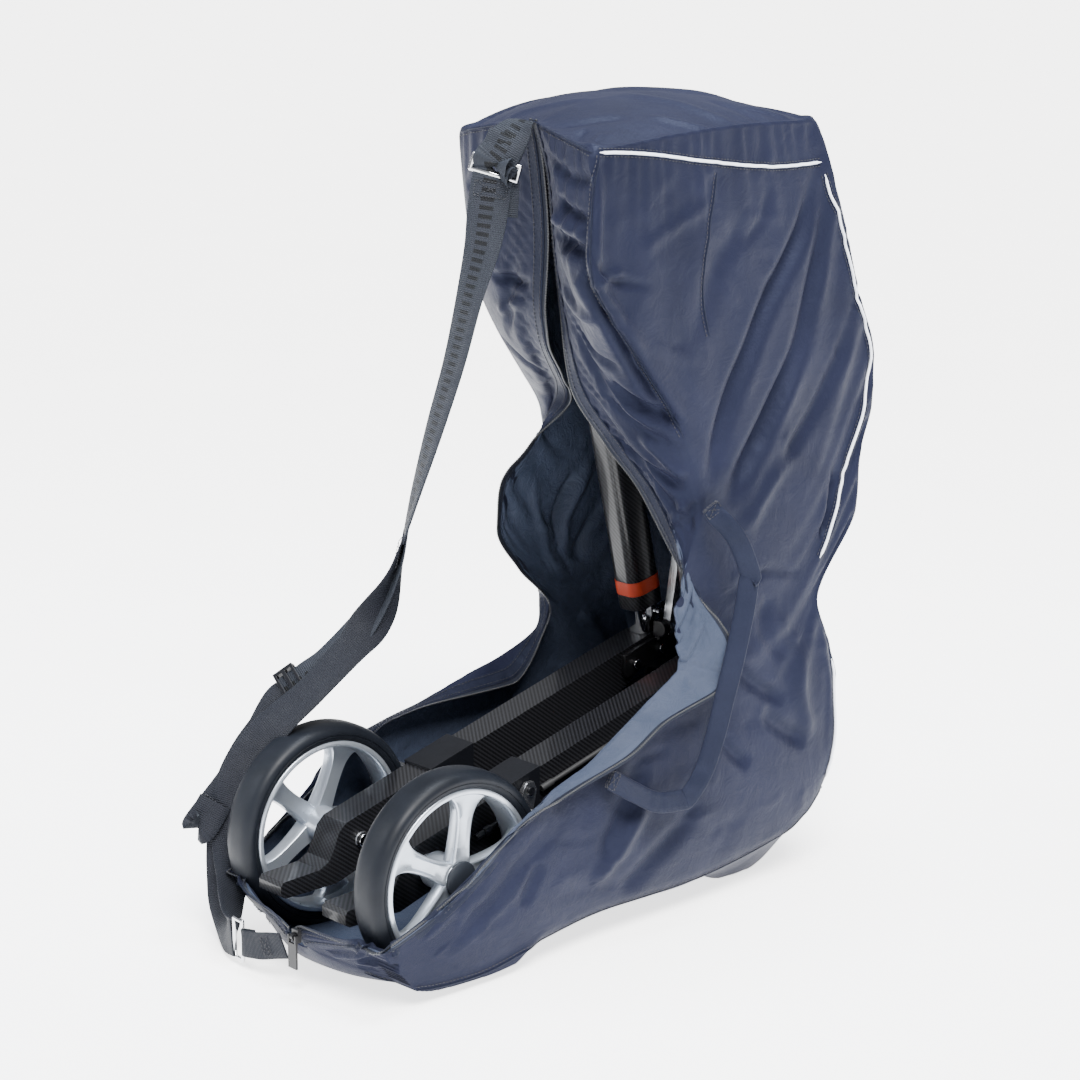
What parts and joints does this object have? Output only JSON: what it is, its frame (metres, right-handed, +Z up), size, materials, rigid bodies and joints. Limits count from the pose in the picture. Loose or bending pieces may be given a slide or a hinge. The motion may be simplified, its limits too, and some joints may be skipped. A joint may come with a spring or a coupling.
{
  "type": "rollator in a boot-shaped travel bag",
  "caption": "Open boot-shaped fabric travel bag holding a folded walking frame on wheels, with rear wheels and beams showing at the toe and a shoulder strap from top to toe.",
  "frame": {"origin": "middle of the bag's base, on the ground: halfway between the rear wheels, 190 mm in front of the rear axle", "axes": "+Z up; -Y towards the toe of the bag, where the rear wheels are; +X towards the bag's right side panel"},
  "size_m": [0.2998, 0.689, 0.78],
  "materials": {
    "nylon": "woven nylon, soft sheen",
    "nylon_base": "woven nylon, worn",
    "zip": "coil zip tape",
    "zip_metal": "black enamel",
    "piping": "reflective cord",
    "chrome": "polished",
    "black_plastic": "fine grain",
    "webbing": "ribbed webbing",
    "handle_webbing": "folded nylon",
    "carbon": "clear-coated carbon twill",
    "reflector": "reflective tape",
    "bolt": "polished",
    "black_metal": "satin black",
    "steel": "turned",
    "tyre": "smooth polyurethane",
    "rim": "silver lacquer",
    "brace_metal": "anodised",
    "seat_fabric": "mesh fabric",
    "tube_metal": "anodised",
    "grip": "soft grip",
    "cable": "cable sleeve"
  },
  "bodies": {
    "root": {"bag_side_right": "nylon", "bag_side_left": "nylon", "bag_top": "nylon", "bag_back": "nylon", "bag_base": "nylon_base", "bag_toe": "nylon", "flap_right": "nylon", "flap_left": "nylon", "zip_tapes": "zip", "piping": "piping", "strap_tab_top": "webbing", "strap_ring_top": "chrome", "strap_upper": "webbing", "strap_lower": "webbing", "strap_ring_toe": "chrome", "strap_tab_toe": "webbing", "grab_handles": "handle_webbing", "backrest_band": "seat_fabric", "beam_left": "carbon", "brake_sleeve_left": "black_plastic", "post_left": "carbon", "band_left": "reflector", "fasteners_left": "bolt", "brace_bracket_left": "black_metal", "axle_left": "steel", "brake_cable_left": "cable"},
    "wheel_left": {"tyre_left": "tyre", "rim_left": "rim", "hub_cap_left": "black_plastic"},
    "castor_left": {"castor_fork_left": "black_metal"},
    "castor_wheel_left": {"castor_wheel_left": "tyre"},
    "handle_left": {"handle_left": "tube_metal", "grip_left": "grip"},
    "brake_lever_left": {"brake_lever_left": "black_plastic"},
    "brake_shoe_left": {"brake_shoe_left": "black_metal"},
    "right_frame": {"beam_right": "carbon", "brake_sleeve_right": "black_plastic", "post_right": "carbon", "band_right": "reflector", "fasteners_right": "bolt", "brace_bracket_right": "black_metal", "axle_right": "steel", "brake_cable_right": "cable"},
    "wheel_right": {"tyre_right": "tyre", "rim_right": "rim", "hub_cap_right": "black_plastic"},
    "castor_right": {"castor_fork_right": "black_metal"},
    "castor_wheel_right": {"castor_wheel_right": "tyre"},
    "handle_right": {"handle_right": "tube_metal", "grip_right": "grip"},
    "brake_lever_right": {"brake_lever_right": "black_plastic"},
    "brake_shoe_right": {"brake_shoe_right": "black_metal"},
    "scissor_a": {"brace_a": "brace_metal", "seat_sling": "seat_fabric"},
    "scissor_b": {"brace_b": "brace_metal"},
    "zip_slider": {"zip_slider": "zip_metal"},
    "zip_pull": {"zip_pull": "zip_metal"},
    "strap_glide": {"strap_glide": "black_plastic"}
  },
  "joints": [
    {"name": "frame_fold", "type": "slide", "parent": "root", "child": "right_frame", "axis": [1, 0, 0], "range_m": [0, 0.006]},
    {"name": "scissor_a_turn", "type": "hinge", "parent": "root", "child": "scissor_a", "pos_m": [-0.022, 0.204, 0.24], "axis": [0, 1, 0], "range_deg": [0, 1.35]},
    {"name": "scissor_b_turn", "type": "hinge", "parent": "right_frame", "child": "scissor_b", "pos_m": [0.022, 0.213, 0.24], "axis": [0, -1, 0], "range_deg": [0, 1.35]},
    {"name": "rear_wheel_left", "type": "hinge", "parent": "root", "child": "wheel_left", "pos_m": [-0.096, -0.19, 0.1023], "axis": [1, 0, 0], "continuous": true},
    {"name": "castor_swivel_left", "type": "hinge", "parent": "root", "child": "castor_left", "pos_m": [-0.048, 0.235, 0.2], "axis": [0, 0, 1], "range_deg": [-14, 14]},
    {"name": "castor_spin_left", "type": "hinge", "parent": "castor_left", "child": "castor_wheel_left", "pos_m": [-0.048, 0.203, 0.0923], "axis": [1, 0, 0], "continuous": true},
    {"name": "handle_height_left", "type": "slide", "parent": "root", "child": "handle_left", "axis": [0, -0.2233, 0.9748], "range_m": [0, 0.015]},
    {"name": "brake_lever_left", "type": "hinge", "parent": "handle_left", "child": "brake_lever_left", "pos_m": [-0.0588, 0.136, 0.7], "axis": [-1, 0, 0], "range_deg": [0, 7], "stiffness_Nm_per_rad": 0.6, "springref_deg": -14.32},
    {"name": "brake_shoe_left", "type": "hinge", "parent": "root", "child": "brake_shoe_left", "pos_m": [-0.0715, -0.072, 0.15], "axis": [-1, 0, 0], "range_deg": [0, 4]},
    {"name": "rear_wheel_right", "type": "hinge", "parent": "right_frame", "child": "wheel_right", "pos_m": [0.096, -0.19, 0.1023], "axis": [1, 0, 0], "continuous": true},
    {"name": "castor_swivel_right", "type": "hinge", "parent": "right_frame", "child": "castor_right", "pos_m": [0.048, 0.235, 0.2], "axis": [0, 0, 1], "range_deg": [-14, 14]},
    {"name": "castor_spin_right", "type": "hinge", "parent": "castor_right", "child": "castor_wheel_right", "pos_m": [0.048, 0.203, 0.0923], "axis": [1, 0, 0], "continuous": true},
    {"name": "handle_height_right", "type": "slide", "parent": "right_frame", "child": "handle_right", "axis": [0, -0.2233, 0.9748], "range_m": [0, 0.015]},
    {"name": "brake_lever_right", "type": "hinge", "parent": "handle_right", "child": "brake_lever_right", "pos_m": [0.0588, 0.136, 0.7], "axis": [-1, 0, 0], "range_deg": [0, 7], "stiffness_Nm_per_rad": 0.6, "springref_deg": -14.32},
    {"name": "brake_shoe_right", "type": "hinge", "parent": "right_frame", "child": "brake_shoe_right", "pos_m": [0.0715, -0.072, 0.15], "axis": [-1, 0, 0], "range_deg": [0, 4]},
    {"name": "zip_slide", "type": "slide", "parent": "root", "child": "zip_slider", "axis": [0, 0, -1], "range_m": [0, 0.015]},
    {"name": "zip_pull_swing", "type": "hinge", "parent": "zip_slider", "child": "zip_pull", "pos_m": [0.028, -0.3156, 0.056], "axis": [1, 0, 0], "range_deg": [-60, 0]},
    {"name": "strap_length", "type": "slide", "parent": "root", "child": "strap_glide", "axis": [0.4698, 0.2399, 0.8496], "range_m": [-0.006, 0.006]}
  ],
  "couplings": [
    {"joint": "scissor_a_turn", "follows": "frame_fold", "rad_per_m": 3.781},
    {"joint": "scissor_b_turn", "follows": "frame_fold", "rad_per_m": 3.781},
    {"joint": "brake_shoe_left", "follows": "brake_lever_left", "ratio": 0.571},
    {"joint": "brake_shoe_right", "follows": "brake_lever_right", "ratio": 0.571}
  ]
}
